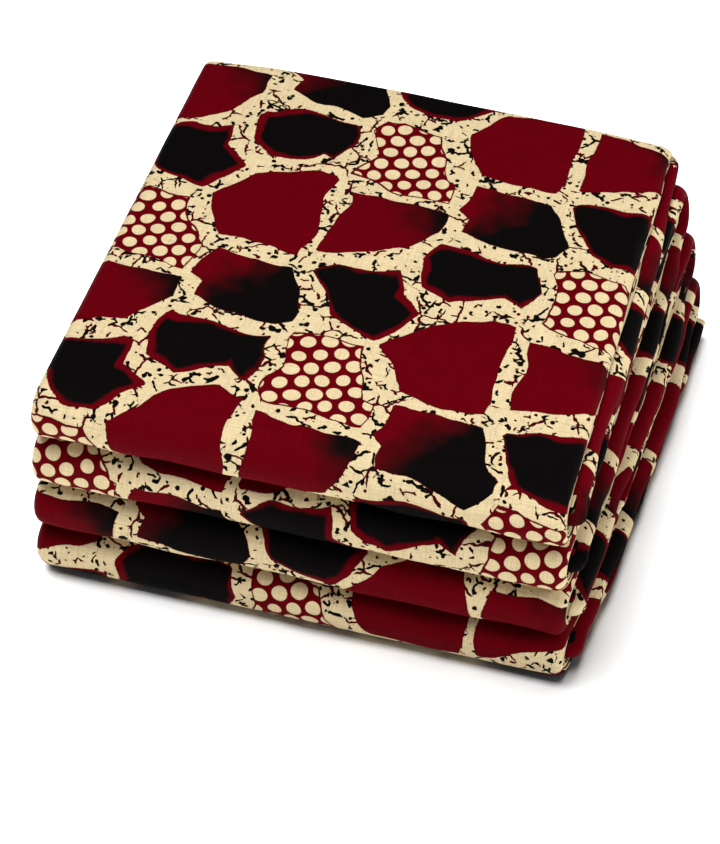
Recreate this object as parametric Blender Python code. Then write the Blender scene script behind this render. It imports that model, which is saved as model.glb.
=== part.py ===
"""A length of printed cotton, folded for sale and lying flat on a table.

How it is folded: the cloth is halved twice in its length, then twice across, which gives a soft band of
sixteen layers, WIDTH wide. The band is then folded back and forth like an accordion into eight panels that
lie on each other. Four round turns show at the front, three at the back, and both ends of the band lie at
the back, one on top and one at the bottom. Along its left edge the band is a closed fold. Along its right
edge one half of its thickness is the two woven edges of the cloth, and the other half is a closed fold.

Every solid is a sheet or a core swept along that accordion path. The outermost layer is a wall, one solid
for each stretch that shows. The layers inside share one rounded core. Metres, +Z up, +Y to the back.
"""

import bmesh
import bpy
import numpy as np

# Driving sizes of the folded cloth
WIDTH = 0.2925
FRONT_Y = -0.1509
BACK_Y = 0.1540
TOP_END_Y = 0.1585
BOTTOM_END_Y = 0.1500
HEIGHT = 0.1374
PANELS = 8

# The cloth's own sizes
WALL = 0.0015
GAP = 0.0003
LEFT_FOLD_DEPTH = 0.0070
WOVEN_EDGE_DEPTH = 0.0060
WOVEN_EDGE_DROP = 0.0055
RIGHT_FOLD_DEPTH = 0.0055
RIGHT_FOLD_REACH = 0.0030
END_ROUNDING = 0.0085

# Steps of the mesh
RUN_STEPS = 3
TURN_STEPS = 6
ACROSS_STEPS = 4
EDGE_STEPS = 3
END_ANGLES = (14.0, 38.0, 64.0)
CORE_END_ANGLES = (38.0, 64.0)

PITCH = HEIGHT / PANELS
HALF = (PITCH - GAP) / 2
LEFT_X = -WIDTH / 2
RIGHT_X = WIDTH / 2 - RIGHT_FOLD_REACH
FLOOR_LIP_ANGLE = 160.0

# How the pile leans. Sideways shift of each edge at the table and on top, from front to back
LEAN = {
    "left": {"table": (-0.0046, 0.0030), "top": (0.0030, -0.0018)},
    "right": {"table": (0.0066, 0.0220), "top": (0.0020, -0.0058)},
}
LEAN_POWER = 1.5
# Bow of the back edge, across the width: x, shift towards the back
BACK_BOW = (
    (-0.1465, -0.0010),
    (-0.1000, 0.0030),
    (-0.0500, 0.0025),
    (0.0500, 0.0000),
    (0.1000, -0.0012),
    (0.1465, -0.0040),
)
TOP_DROOP = 0.0025

PRINT_RED = (0.26, 0.004, 0.010, 1.0)
PRINT_CREAM = (0.78, 0.66, 0.36, 1.0)
INNER_BLACK = (0.012, 0.010, 0.011, 1.0)


def clear_scene():
    for obj in list(bpy.data.objects):
        bpy.data.objects.remove(obj, do_unlink=True)


def cloth_material(name, colour):
    """Plain woven cotton: matt, a little sheen, no metal."""
    material = bpy.data.materials.new(name)
    material.use_nodes = True
    shader = material.node_tree.nodes["Principled BSDF"]
    shader.inputs["Base Color"].default_value = colour
    shader.inputs["Roughness"].default_value = 0.8
    shader.inputs["Metallic"].default_value = 0.0
    return material


def panel_height(panel):
    """Height of a panel's middle, so that the lowest skin lies on the table."""
    return HEIGHT - PITCH * (panel + 0.5) - GAP / 2


def run_rows(panel, rear_y, steps):
    """Rows (y, z, normal y, normal z) along one flat panel, in the path's direction."""
    ys = np.linspace(rear_y, FRONT_Y + PITCH, steps + 1)
    up = 1.0 if panel % 2 == 0 else -1.0
    if panel % 2:
        ys = ys[::-1]
    rows = np.zeros((len(ys), 4))
    rows[:, 0] = ys
    rows[:, 1] = panel_height(panel)
    rows[:, 3] = up
    return rows


def turn_rows(panel, angles):
    """Rows round the turn from a panel to the next one, at angles in degrees from 0 to 180."""
    front = panel % 2 == 0
    centre_y = FRONT_Y + PITCH if front else BACK_Y - PITCH
    centre_z = panel_height(panel) - PITCH / 2
    a = np.radians(angles)
    out_y = -np.sin(a) if front else np.sin(a)
    out_z = np.cos(a)
    side = 1.0 if front else -1.0
    return np.stack(
        [centre_y + PITCH / 2 * out_y, centre_z + PITCH / 2 * out_z, side * out_y, side * out_z], axis=1
    )


def path_between(first, last, start_turn=None, end_turn=None):
    """The accordion path from panel first to panel last. A turn's angles may be given where it is cut."""
    whole = np.linspace(0.0, 180.0, TURN_STEPS + 1)[1:-1]
    pieces = []
    if start_turn is not None:
        pieces.append(turn_rows(first - 1, start_turn))
    for panel in range(first, last + 1):
        rear_y = BACK_Y - PITCH
        if panel == 0:
            rear_y = TOP_END_Y - END_ROUNDING
        if panel == PANELS - 1:
            rear_y = BOTTOM_END_Y - END_ROUNDING
        pieces.append(run_rows(panel, rear_y, RUN_STEPS))
        if panel < last:
            pieces.append(turn_rows(panel, whole))
    if end_turn is not None:
        pieces.append(turn_rows(last, end_turn))
    return np.concatenate(pieces)


def arc(centre, radii, start, stop, steps):
    """Points (x, n) on a quarter or more of an ellipse, angles in degrees from +x towards +n."""
    a = np.radians(np.linspace(start, stop, steps + 1))
    return np.stack([centre[0] + radii[0] * np.cos(a), centre[1] + radii[1] * np.sin(a)], axis=1)


def straight(start, stop, steps):
    """Points strictly between two (x, n) points."""
    f = np.linspace(0.0, 1.0, steps + 1)[1:-1, None]
    return np.asarray(start) * (1 - f) + np.asarray(stop) * f


def woven_side(inset):
    """The outermost layer's section on the side of the woven edges: left fold, flat, edge turned down."""
    lip = np.degrees(np.arcsin(GAP / 2 / (HALF - inset)))
    left = arc(
        (LEFT_X + LEFT_FOLD_DEPTH, 0.0), (LEFT_FOLD_DEPTH - inset, HALF - inset), 180.0 - lip, 90.0, EDGE_STEPS
    )
    right = arc(
        (RIGHT_X - WOVEN_EDGE_DEPTH, HALF - WOVEN_EDGE_DROP),
        (WOVEN_EDGE_DEPTH - inset, WOVEN_EDGE_DROP - inset),
        90.0,
        0.0,
        EDGE_STEPS,
    )
    return np.concatenate([left, straight(left[-1], right[0], ACROSS_STEPS), right])


FOLD_HALF = (HALF - GAP) / 2
FOLD_CENTRE = (RIGHT_X + RIGHT_FOLD_REACH - RIGHT_FOLD_DEPTH, FOLD_HALF - HALF)


def folded_side(inset, stop=80.0):
    """The section on the other side: left fold, flat, then round the closed right fold up to angle stop."""
    lip = np.degrees(np.arcsin(GAP / 2 / (HALF - inset)))
    left = arc(
        (LEFT_X + LEFT_FOLD_DEPTH, 0.0),
        (LEFT_FOLD_DEPTH - inset, HALF - inset),
        180.0 + lip,
        270.0,
        EDGE_STEPS,
    )
    radii = (RIGHT_FOLD_DEPTH - inset, FOLD_HALF - inset)
    right = arc(FOLD_CENTRE, radii, -90.0, stop, EDGE_STEPS + 2)
    return np.concatenate([left, straight(left[-1], right[0], ACROSS_STEPS), right])


def core_section():
    """The inner layers' section, one wall and one gap inside the skin, stepped between its two right edges."""
    inset = WALL + GAP
    upper = woven_side(inset)
    lower = folded_side(inset, stop=50.0)
    step_x = FOLD_CENTRE[0] - inset
    notch = np.array([(RIGHT_X - inset, GAP), (step_x, GAP), (step_x, lower[-1, 1])])
    return np.concatenate([upper, notch, lower[::-1]])


def pile_shape(points):
    """Moves points of the straight, square pile to where the real one lies: it leans, bows and droops."""
    x, y, z = points.T
    across = (x - LEFT_X) / WIDTH
    depth = np.clip((y - FRONT_Y) / (BACK_Y - FRONT_Y), 0.0, 1.1)
    high = np.clip(z / HEIGHT, 0.0, 1.0) ** LEAN_POWER

    def shift(edge):
        table = LEAN[edge]["table"]
        top = LEAN[edge]["top"]
        low = table[0] + (table[1] - table[0]) * np.sin(depth * np.pi / 2)
        return low * (1 - high) + (top[0] + (top[1] - top[0]) * depth) * high

    bow_x, bow_y = np.array(BACK_BOW).T
    moved = np.empty_like(points)
    moved[:, 0] = x + shift("left") * (1 - across) + shift("right") * across
    moved[:, 1] = y + np.interp(x, bow_x, bow_y) * depth**2
    moved[:, 2] = z * (1 - TOP_DROOP / HEIGHT * across**4)
    return moved


def sweep(section, rows):
    """Carries a closed section (x, n) along path rows. n is measured along the path's normal."""
    x = np.repeat(section[None, :, 0], len(rows), axis=0)
    n = section[None, :, 1]
    y = rows[:, 0:1] + rows[:, 2:3] * n
    z = rows[:, 1:2] + rows[:, 3:4] * n
    return np.stack([x, y, z], axis=2)


def rounded_end(section, insets, lips, panel, rear_y, angles):
    """Rings that close a band's end: the section's height shrinks as a quarter ellipse while y runs back."""
    up = 1.0 if panel % 2 == 0 else -1.0
    rings = []
    for angle in angles:
        a = np.radians(angle)
        ring = np.empty((len(section), 3))
        ring[:, 0] = section[:, 0]
        ring[:, 1] = rear_y - END_ROUNDING + (END_ROUNDING - insets) * np.cos(a)
        ring[:, 2] = panel_height(panel) + up * (lips + (section[:, 1] - lips) * np.sin(a))
        rings.append(ring)
    return np.stack(rings)


def swept_rings(section, insets, lips, rows, top_angles=(), bottom_angles=()):
    """The section at every path row, with the band's rounded ends where this stretch has them."""
    rings = [sweep(section, rows)]
    if top_angles:
        rings.insert(0, rounded_end(section, insets, lips, 0, TOP_END_Y, top_angles))
    if bottom_angles:
        lowest = rounded_end(section, insets, lips, PANELS - 1, BOTTOM_END_Y, bottom_angles)
        rings.append(lowest[::-1])
    return np.concatenate(rings)


def closed_solid(name, rings, end_faces, material):
    """Joins rings of points into one closed mesh: quads along the sides, end_faces on both ends."""
    count, around = rings.shape[:2]
    index = np.arange(count * around).reshape(count, around)
    near = index[:-1]
    far = index[1:]
    quads = np.stack([near, np.roll(near, -1, 1), np.roll(far, -1, 1), far], axis=2).reshape(-1, 4)
    faces = quads.tolist()
    faces += [[int(index[0][i]) for i in face][::-1] for face in end_faces]
    faces += [[int(index[-1][i]) for i in face] for face in end_faces]
    mesh = bpy.data.meshes.new(name)
    mesh.from_pydata(pile_shape(rings.reshape(-1, 3)).tolist(), [], faces)
    mesh.materials.append(material)
    model = bmesh.new()
    model.from_mesh(mesh)
    bmesh.ops.recalc_face_normals(model, faces=model.faces[:])
    model.to_mesh(mesh)
    model.free()
    mesh.shade_smooth()
    mesh.set_sharp_from_angle(angle=np.radians(40.0))
    obj = bpy.data.objects.new(name, mesh)
    bpy.context.scene.collection.objects.link(obj)
    return obj


def wall(name, side, rows, material, top_angles=(), bottom_angles=()):
    """A visible stretch of the outermost layer, WALL thick, on one side of the band."""
    skin = side(0.0)
    section = np.concatenate([skin, side(WALL)[::-1]])
    insets = np.concatenate([np.zeros(len(skin)), np.full(len(skin), WALL)])
    lips = np.full(len(section), np.sign(skin[:, 1].sum()) * GAP / 2)
    last = len(section) - 1
    strip = [[i, i + 1, last - i - 1, last - i] for i in range(len(skin) - 1)]
    rings = swept_rings(section, insets, lips, rows, top_angles, bottom_angles)
    return closed_solid(name, rings, strip, material)


def core(name, material):
    """All the inner layers as one rounded solid, from the top end of the band to its bottom end."""
    section = core_section()
    insets = np.full(len(section), WALL + GAP)
    lips = np.sign(section[:, 1]) * GAP / 2
    rows = path_between(0, PANELS - 1)
    rings = swept_rings(section, insets, lips, rows, CORE_END_ANGLES, CORE_END_ANGLES)
    return closed_solid(name, rings, [list(range(len(section)))], material)


def centre_on_table(objects):
    """Puts the origin under the middle of the whole pile, at the height of the table."""
    corners = np.array([corner[:] for obj in objects for corner in obj.bound_box])
    low = corners.min(axis=0)
    middle = (low + corners.max(axis=0)) / 2
    for obj in objects:
        for vertex in obj.data.vertices:
            vertex.co.x -= middle[0]
            vertex.co.y -= middle[1]
            vertex.co.z -= low[2]
        obj.data.update()


def main():
    clear_scene()
    printed = cloth_material("printed_cotton", PRINT_RED)
    folds = cloth_material("printed_cotton_folds", PRINT_CREAM)
    inner = cloth_material("inner_layers", INNER_BLACK)
    core("hidden_layers", inner)

    seam = np.degrees(GAP / 2 / PITCH)
    turn_angles = np.linspace(0.0, 180.0, TURN_STEPS + 1)[1:-1]
    last_turn = [*turn_angles, FLOOR_LIP_ANGLE - seam]
    floor_lip = [FLOOR_LIP_ANGLE + seam]
    wall("top_and_front_turn_1", woven_side, path_between(0, 1), printed, top_angles=END_ANGLES)
    wall("front_turn_2", woven_side, path_between(2, 3), printed)
    wall("front_turn_3", woven_side, path_between(4, 5), printed)
    wall("front_turn_4", woven_side, path_between(6, 6, end_turn=last_turn), printed)
    underside_path = path_between(7, 7, start_turn=floor_lip)
    wall("underside", woven_side, underside_path, printed, bottom_angles=END_ANGLES)

    wall("top_right_fold", folded_side, path_between(0, 0), folds, top_angles=END_ANGLES)
    for turn in (1, 2, 3):
        wall(f"back_turn_{turn}", folded_side, path_between(2 * turn - 1, 2 * turn), folds)
    wall("bottom_right_fold", folded_side, path_between(7, 7), folds, bottom_angles=END_ANGLES)
    centre_on_table(list(bpy.data.objects))


main()
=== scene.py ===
"""Looks of a length of wax-printed cotton, folded for sale and lying on a pale table.

The cloth is a soft band of many layers, folded back and forth like an accordion into eight panels. Each piece
here is a thin sheet of the band's outermost layer, worked out on a grid of two parameters: along the band's
path, and across the band. One side of the band ends at the right in the cloth's two woven edges, the other
side is a closed fold there, and the left edge is a closed fold on both. Metres, +Z up, +Y to the back.
"""

import math

import bpy
import numpy as np
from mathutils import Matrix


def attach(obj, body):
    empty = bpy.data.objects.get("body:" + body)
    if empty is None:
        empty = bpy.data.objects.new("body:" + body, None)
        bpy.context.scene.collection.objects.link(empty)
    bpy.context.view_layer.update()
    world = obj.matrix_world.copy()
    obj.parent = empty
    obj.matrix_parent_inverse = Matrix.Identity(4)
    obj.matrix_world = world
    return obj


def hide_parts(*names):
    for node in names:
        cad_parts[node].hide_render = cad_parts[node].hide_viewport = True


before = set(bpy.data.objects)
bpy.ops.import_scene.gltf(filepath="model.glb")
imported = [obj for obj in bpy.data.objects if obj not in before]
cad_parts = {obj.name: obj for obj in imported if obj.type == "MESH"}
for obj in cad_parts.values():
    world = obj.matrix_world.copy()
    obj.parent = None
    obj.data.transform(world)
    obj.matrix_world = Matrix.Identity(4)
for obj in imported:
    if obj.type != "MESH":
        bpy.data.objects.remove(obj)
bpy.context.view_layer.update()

# The folded cloth's sizes, the same as the solids'
WIDTH = 0.2925
FRONT_Y = -0.1509
BACK_Y = 0.1540
TOP_END_Y = 0.1585
BOTTOM_END_Y = 0.1500
HEIGHT = 0.1374
PANELS = 8
GAP = 0.0003
LEFT_FOLD_DEPTH = 0.0070
WOVEN_EDGE_DEPTH = 0.0060
WOVEN_EDGE_DROP = 0.0055
RIGHT_FOLD_DEPTH = 0.0055
RIGHT_FOLD_REACH = 0.0030
END_ROUNDING = 0.0085
PILE_MIDDLE = (0.00865, 0.00514)

# A panel's pitch, half the band's thickness and its two sides
PITCH = HEIGHT / PANELS
HALF = (PITCH - GAP) / 2
LEFT_X = -WIDTH / 2
RIGHT_X = WIDTH / 2 - RIGHT_FOLD_REACH
# Half the thickness of a closed fold at the right, and where its rounding starts
FOLD_HALF = (HALF - GAP) / 2
FOLD_X = RIGHT_X + RIGHT_FOLD_REACH - RIGHT_FOLD_DEPTH
# Degrees round the lowest front turn where the cloth meets the table and the underside starts
FLOOR_LIP_ANGLE = 160.0

# How the pile leans: sideways shift of each edge at the table and on top, at the front and at the back.
# It passes from the table's to the top's with the height raised to LEAN_POWER
LEAN = {
    "left": {"table": (-0.0046, 0.0030), "top": (0.0037, -0.0043)},
    "right": {"table": (0.0066, 0.0220), "top": (0.0020, -0.0058)},
}
LEAN_POWER = 1.5
# Lean and bow go on past the back line, up to this share of the depth
DEEPEST = 1.1
# Bow of the back edge, across the width: x, shift towards the back
BACK_BOW = (
    (-0.1465, -0.0010),
    (-0.1000, 0.0030),
    (-0.0500, 0.0025),
    (0.0500, 0.0000),
    (0.1000, -0.0012),
    (0.1465, -0.0040),
)
# How much lower the top is along its right edge
TOP_DROOP = 0.0025

# The band's two ends: how square their section is (1 is an ellipse, 0 a box), and how far the sides pull in
END_SQUARENESS = 0.60
END_CORNER = 0.0025

# The mesh: the cloth's thickness, half the gap at a seam, the steps round each curve, and the longest step
# on flat stretches
CLOTH_THICKNESS = 0.0005
SEAM = 0.0001
TURN_STEPS = 36
END_STEPS = 12
LEFT_FOLD_STEPS = 12
WOVEN_EDGE_STEPS = 12
RIGHT_FOLD_STEPS = 20
RIDGE_CORNER_STEPS = 6
TOP_SPACING = 0.0022
HIDDEN_SPACING = 0.0050
ACROSS_SPACING = {"top": 0.0026, "woven": 0.0045, "folded": 0.0100}

# Random seeds, one for each uneven line or face
SEEDS = {
    "woven edge": 11,
    "woven edge height": 13,
    "woven side": 5,
    "fold reach": 23,
    "fold thickness": 29,
    "fold line": 37,
    "folded side": 6,
    "layer edge": 31,
    "layer height": 41,
}
# Uneven lines: their shortest wave, how many times longer each next one is, and the waves' shares
WANDER_SHORTEST = 0.035
WANDER_GROWTH = 1.6
WANDER_WEIGHTS = (0.10, 0.16, 0.22, 0.26, 0.26)

# Columns of the path's rows: y, z, the normal's y and z, share of the full height, and place along the band
Y, Z, NORMAL_Y, NORMAL_Z, SHARE, PLACE = range(6)


def steps_between(start, stop, spacing):
    """Evenly spaced values from start to stop, at most spacing apart."""
    count = max(1, int(math.ceil(abs(stop - start) / spacing)))
    return np.linspace(start, stop, count + 1)


def panel_height(panel):
    """Height of a panel's middle."""
    return HEIGHT - PITCH * (panel + 0.5) - GAP / 2


def facing(panel):
    """1 where the woven edges' side of a panel faces up, and -1 where it faces down."""
    return 1.0 if panel % 2 == 0 else -1.0


def path_rows(*columns):
    """Rows of the path from its six columns, where a column may be one number."""
    return np.stack(np.broadcast_arrays(*columns), axis=1)


def run_rows(panel, rear_y, spacing):
    """Rows along one flat panel: y runs straight between rear and front, and the normal points up or down."""
    y = steps_between(rear_y, FRONT_Y + PITCH, spacing)
    if panel % 2:
        y = y[::-1]
    return path_rows(y, panel_height(panel), 0.0, facing(panel), 1.0, panel)


def turn_rows(panel):
    """Rows round the half circle from a panel to the next: centre plus PITCH / 2 times (-+ sin a, cos a)."""
    front = panel % 2 == 0
    a = np.linspace(0.0, np.pi, TURN_STEPS + 1)[1:-1]
    out_y = -np.sin(a) if front else np.sin(a)
    out_z = np.cos(a)
    centre_y = FRONT_Y + PITCH if front else BACK_Y - PITCH
    centre_z = panel_height(panel) - PITCH / 2
    y = centre_y + PITCH / 2 * out_y
    z = centre_z + PITCH / 2 * out_z
    return path_rows(y, z, facing(panel) * out_y, facing(panel) * out_z, 1.0, panel + a / np.pi)


def end_rows(panel, rear_y):
    """Rows round a band's closed end: y and the section's height follow a quarter of a squarish ellipse.

    Their shares are the cosine and the sine of an angle, each raised to END_SQUARENESS.
    """
    a = np.linspace(0.0, np.pi / 2, END_STEPS + 1)[:-1]
    y = rear_y - END_ROUNDING + END_ROUNDING * np.cos(a) ** END_SQUARENESS
    return path_rows(y, panel_height(panel), 0.0, facing(panel), np.sin(a) ** END_SQUARENESS, panel)


def band_path():
    """The whole path of the band's middle, from the top panel's end to the lowest panel's end."""
    rows = [end_rows(0, TOP_END_Y)]
    for panel in range(PANELS):
        rear_y = BACK_Y - PITCH
        if panel == 0:
            rear_y = TOP_END_Y - END_ROUNDING
        if panel == PANELS - 1:
            rear_y = BOTTOM_END_Y - END_ROUNDING
        rows.append(run_rows(panel, rear_y, TOP_SPACING if panel == 0 else HIDDEN_SPACING))
        if panel < PANELS - 1:
            rows.append(turn_rows(panel))
    rows.append(end_rows(PANELS - 1, BOTTOM_END_Y)[::-1])
    return np.concatenate(rows)


PATH = band_path()


def length_along(n):
    """Length along the path of the skin that lies n from its middle, at every row."""
    height = n * PATH[:, SHARE]
    y = PATH[:, Y] + PATH[:, NORMAL_Y] * height
    z = PATH[:, Z] + PATH[:, NORMAL_Z] * height
    return np.concatenate([[0.0], np.cumsum(np.hypot(np.diff(y), np.diff(z)))])


MIDDLE_LENGTH = length_along(0.0)
OUTER_LENGTH = length_along(HALF)
INNER_LENGTH = length_along(-HALF)


def rows_between(start, stop):
    """The slice of the path from place start to place stop. A place is a panel plus the share of its turn."""
    first = 0 if start is None else int(np.argmin(np.abs(PATH[:, PLACE] - start)))
    last = len(PATH) - 1 if stop is None else int(np.argmin(np.abs(PATH[:, PLACE] - stop)))
    return slice(first, last + 1)


def wander(length, seed, size, shortest=WANDER_SHORTEST):
    """A soft uneven line: a sum of five sines of growing wavelength, at most size away from nought."""
    rng = np.random.default_rng(seed)
    waves = shortest * WANDER_GROWTH ** np.arange(len(WANDER_WEIGHTS))
    phases = rng.uniform(0.0, 2 * np.pi, len(WANDER_WEIGHTS))
    sines = np.sin(2 * np.pi * np.asarray(length)[..., None] / waves + phases)
    return size * np.sum(np.array(WANDER_WEIGHTS) * sines, axis=-1)


def arc(centre, radii, start, stop, steps):
    """Points (x, n) on an ellipse from angle start to angle stop, in degrees from +x towards +n."""
    a = np.radians(np.linspace(start, stop, steps + 1))
    return np.stack([centre[0] + radii[0] * np.cos(a), centre[1] + radii[1] * np.sin(a)], axis=-1)


def straight(start, stop, spacing):
    """Points strictly between two points (x, n)."""
    count = max(2, int(math.ceil(np.hypot(*(stop - start)) / spacing)))
    f = np.linspace(0.0, 1.0, count + 1)[1:-1, None]
    return start * (1 - f) + stop * f


def section_length(section):
    """Length across, from the left fold's ridge to every point of a section."""
    return np.concatenate([[0.0], np.cumsum(np.hypot(*np.diff(section, axis=0).T))])


# The left fold's middle, and the angle at which a sheet stops short of it for the seam
LEFT_FOLD_MIDDLE = (LEFT_X + LEFT_FOLD_DEPTH, 0.0)
SEAM_ANGLE = math.degrees(math.asin(SEAM / HALF))


def woven_section(spacing):
    """Section of the woven edges' side: a quarter ellipse, flat, and a quarter ellipse at the right."""
    left = arc(LEFT_FOLD_MIDDLE, (LEFT_FOLD_DEPTH, HALF), 180.0 - SEAM_ANGLE, 90.0, LEFT_FOLD_STEPS)
    centre = (RIGHT_X - WOVEN_EDGE_DEPTH, HALF - WOVEN_EDGE_DROP)
    right = arc(centre, (WOVEN_EDGE_DEPTH, WOVEN_EDGE_DROP), 90.0, 0.0, WOVEN_EDGE_STEPS)
    return np.concatenate([left, straight(left[-1], right[0], spacing), right])


# The broad ridge at the right: how far it reaches past the solid, and its rounded inner corner
RIDGE_REACH = 0.0022
RIDGE_CORNER = 0.0016
# How far the sheet goes on under the other side, past the right fold
TUCKED_IN = 0.008


def folded_sections(spacing):
    """Two sections of the closed folds' side: left fold, flat, round the right fold and in under the other.

    In the first, the right fold is a half ellipse of its own, as round a back turn. In the second, it is half
    of the broad ridge that it shares with the next panel's fold: a small corner, then a quarter ellipse.
    """
    left = arc(LEFT_FOLD_MIDDLE, (LEFT_FOLD_DEPTH, HALF), 180.0 + SEAM_ANGLE, 270.0, LEFT_FOLD_STEPS)
    own = arc((FOLD_X, FOLD_HALF - HALF), (RIGHT_FOLD_DEPTH, FOLD_HALF), -90.0, 90.0, RIGHT_FOLD_STEPS)
    depth = RIGHT_FOLD_DEPTH + RIDGE_REACH
    corner_x = FOLD_X + depth - RIDGE_CORNER
    corner_n = RIDGE_CORNER - HALF
    corner = arc((corner_x, corner_n), (RIDGE_CORNER, RIDGE_CORNER), -90.0, 0.0, RIDGE_CORNER_STEPS)
    slope_radii = (depth, 2 * FOLD_HALF - RIDGE_CORNER)
    slope = arc((FOLD_X, corner_n), slope_radii, 0.0, 90.0, RIGHT_FOLD_STEPS - RIDGE_CORNER_STEPS)[1:]
    flat = straight(left[-1], own[0], spacing)
    tucked_in = own[-1:] - np.array([TUCKED_IN, 0.0])
    shared = np.concatenate([corner, slope])
    return [np.concatenate([left, flat, right, tucked_in]) for right in (own, shared)]


# Width of the cloth that each side's sheets show
WOVEN_ACROSS = float(section_length(woven_section(ACROSS_SPACING["folded"]))[-1])
FOLDED_ACROSS = float(section_length(folded_sections(ACROSS_SPACING["folded"])[1])[-1])


def pile_shape(points):
    """Moves points of the straight, square pile to where the real one lies: it leans, bows and droops.

    x gets the lean of both edges, blended across the width. y gets the bow times the square of the depth.
    z shrinks by the droop times the fourth power of the share across.
    """
    x, y, z = points.T
    across = (x - LEFT_X) / WIDTH
    depth = np.clip((y - FRONT_Y) / (BACK_Y - FRONT_Y), 0.0, DEEPEST)
    high = np.clip(z / HEIGHT, 0.0, 1.0) ** LEAN_POWER

    def shift(edge):
        """Lean of one edge: a sine of the depth at the table, and straight from front to back on top."""
        table = LEAN[edge]["table"]
        top = LEAN[edge]["top"]
        low = table[0] + (table[1] - table[0]) * np.sin(depth * np.pi / 2)
        return low * (1 - high) + (top[0] + (top[1] - top[0]) * depth) * high

    bow_x, bow_y = np.array(BACK_BOW).T
    moved = np.empty_like(points)
    moved[:, 0] = x + shift("left") * (1 - across) + shift("right") * across - PILE_MIDDLE[0]
    moved[:, 1] = y + np.interp(x, bow_x, bow_y) * depth**2 - PILE_MIDDLE[1]
    moved[:, 2] = z * (1 - TOP_DROOP / HEIGHT * across**4)
    return moved


def sweep(x, n, rows):
    """Carries sections along the path: point = (x, path + normal * n), n shrunk to the seam at the ends."""
    path = PATH[rows]
    lip = np.sign(n) * SEAM
    n = lip + (n - lip) * path[:, SHARE, None]
    y = path[:, Y, None] + path[:, NORMAL_Y, None] * n
    z = path[:, Z, None] + path[:, NORMAL_Z, None] * n
    return np.stack([x, y, z], axis=2)


def cloth_mesh(name, grids):
    """One mesh of quads through grids of points, with the lengths across and along the cloth as its UV map.

    Each grid is its points (rows along the path by columns across), its lengths across (for each column, or
    for each point), its lengths along, and whether its columns run the other way round, so that every face
    points outwards.
    """
    points, faces, uvs = [], [], []
    first = 0
    for grid, across, along, turned in grids:
        count, wide = grid.shape[:2]
        index = first + np.arange(count * wide).reshape(count, wide)
        corners = [index[:-1, :-1], index[1:, :-1], index[1:, 1:], index[:-1, 1:]]
        if turned:
            corners = corners[::-1]
        points.append(grid.reshape(-1, 3))
        faces.append(np.stack(corners, axis=2).reshape(-1, 4))
        lengths = np.broadcast_arrays(np.atleast_2d(across), along[:, None])
        uvs.append(np.stack(lengths, axis=2).reshape(-1, 2))
        first += count * wide
    faces = np.concatenate(faces)
    mesh = bpy.data.meshes.new(name)
    mesh.from_pydata(pile_shape(np.concatenate(points)), [], faces)
    layer = mesh.uv_layers.new(name="cloth")
    layer.data.foreach_set("uv", np.concatenate(uvs)[faces.ravel()].astype(np.float32).ravel())
    mesh.shade_smooth()
    obj = bpy.data.objects.new(name, mesh)
    bpy.context.scene.collection.objects.link(obj)
    return obj


def thin_shell(obj, thickness):
    """Gives a sheet its thickness, inwards from its outer face."""
    shell = obj.modifiers.new("thickness", "SOLIDIFY")
    shell.thickness = thickness
    shell.offset = -1.0
    shell.use_even_offset = True


# Creases pressed into the front turns: turn from the top, then x and angle at both ends, width and depth
FRONT_CREASES = (
    (0, -0.125, 118, -0.070, 132, 0.0030, 0.0006),
    (0, 0.010, 124, 0.085, 112, 0.0035, 0.0005),
    (0, 0.100, 60, 0.134, 104, 0.0030, 0.0006),
    (1, -0.110, 84, -0.035, 96, 0.0040, 0.0007),
    (1, 0.040, 72, 0.118, 92, 0.0035, 0.0006),
    (2, -0.130, 96, -0.085, 78, 0.0030, 0.0006),
    (2, -0.020, 100, 0.062, 88, 0.0045, 0.0007),
    (2, 0.090, 76, 0.132, 100, 0.0030, 0.0005),
    (3, -0.090, 82, -0.010, 94, 0.0040, 0.0006),
    (3, 0.050, 98, 0.128, 86, 0.0035, 0.0006),
)
# The same on the back turns
BACK_CREASES = (
    (0, -0.120, 92, -0.040, 84, 0.0040, 0.0007),
    (0, 0.030, 78, 0.110, 96, 0.0035, 0.0006),
    (1, -0.100, 104, -0.060, 82, 0.0030, 0.0006),
    (1, 0.000, 88, 0.090, 94, 0.0045, 0.0007),
    (2, -0.128, 74, -0.060, 90, 0.0035, 0.0006),
    (2, 0.045, 100, 0.120, 84, 0.0035, 0.0006),
)
# Soft troughs on top: x and y at both ends, width and depth
TOP_CREASES = (
    (-0.138, -0.120, -0.132, 0.020, 0.0050, 0.0005),
    (-0.075, -0.135, -0.020, -0.128, 0.0060, 0.0005),
    (0.060, -0.130, 0.128, -0.118, 0.0060, 0.0005),
    (0.131, -0.050, 0.128, 0.110, 0.0050, 0.0006),
    (-0.060, 0.060, 0.010, 0.085, 0.0100, 0.0005),
    (0.020, -0.040, 0.085, -0.020, 0.0110, 0.0004),
)


def turn_creases(table, first_turn, lengths):
    """Creases of the front turns (first_turn 0) or the back ones (1), as x and length along at both ends."""
    rows = []
    for turn, x0, angle0, x1, angle1, width, depth in table:
        places = 2 * turn + first_turn + np.array([angle0, angle1]) / 180.0
        along0, along1 = np.interp(places, PATH[:, PLACE], lengths)
        rows.append((x0, along0, x1, along1, width, depth))
    return rows


def top_creases():
    """Creases of the top, as x and length along the outer skin at both ends."""
    top = PATH[:, PLACE] == 0
    rows = []
    for x0, y0, x1, y1, width, depth in TOP_CREASES:
        along0, along1 = np.interp((-y0, -y1), -PATH[top, Y], OUTER_LENGTH[top])
        rows.append((x0, along0, x1, along1, width, depth))
    return rows


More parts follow.
